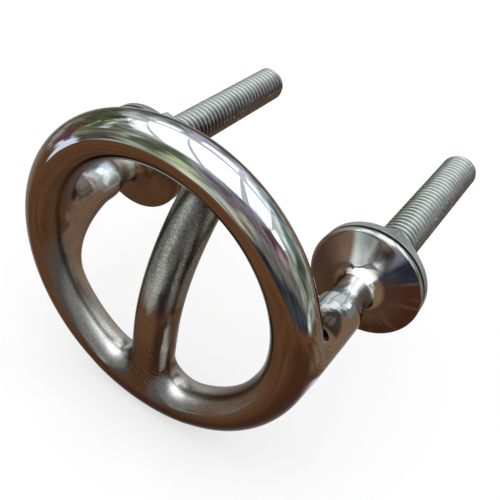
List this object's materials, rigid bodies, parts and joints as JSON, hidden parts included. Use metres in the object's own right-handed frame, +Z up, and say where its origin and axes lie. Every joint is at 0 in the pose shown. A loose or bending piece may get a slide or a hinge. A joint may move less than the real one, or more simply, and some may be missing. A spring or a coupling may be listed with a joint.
{
  "type": "water ski hook",
  "caption": "Transom water ski hook: an oval ring of round bar on two flanged legs with a tongue inside that hooks the tow rope, on threaded studs with washers and nuts.",
  "frame": {"origin": "halfway between the two stud axes, on the plane of the nuts' back faces where the free studs begin", "axes": "+X along the line through the studs, +Y back along the studs into the transom, +Z up, with the ring in front at -Y"},
  "size_m": [0.1166, 0.1306, 0.0956],
  "materials": {
    "casting": "polished cast stainless steel, satin on the inner sides",
    "stud": "bright rolled thread",
    "washer": "bright",
    "nut": "bright"
  },
  "bodies": {
    "root": {"hook_body": "casting", "left_stud": "stud", "right_stud": "stud", "left_washer": "washer", "right_washer": "washer", "left_nut": "nut", "right_nut": "nut"}
  },
  "joints": []
}
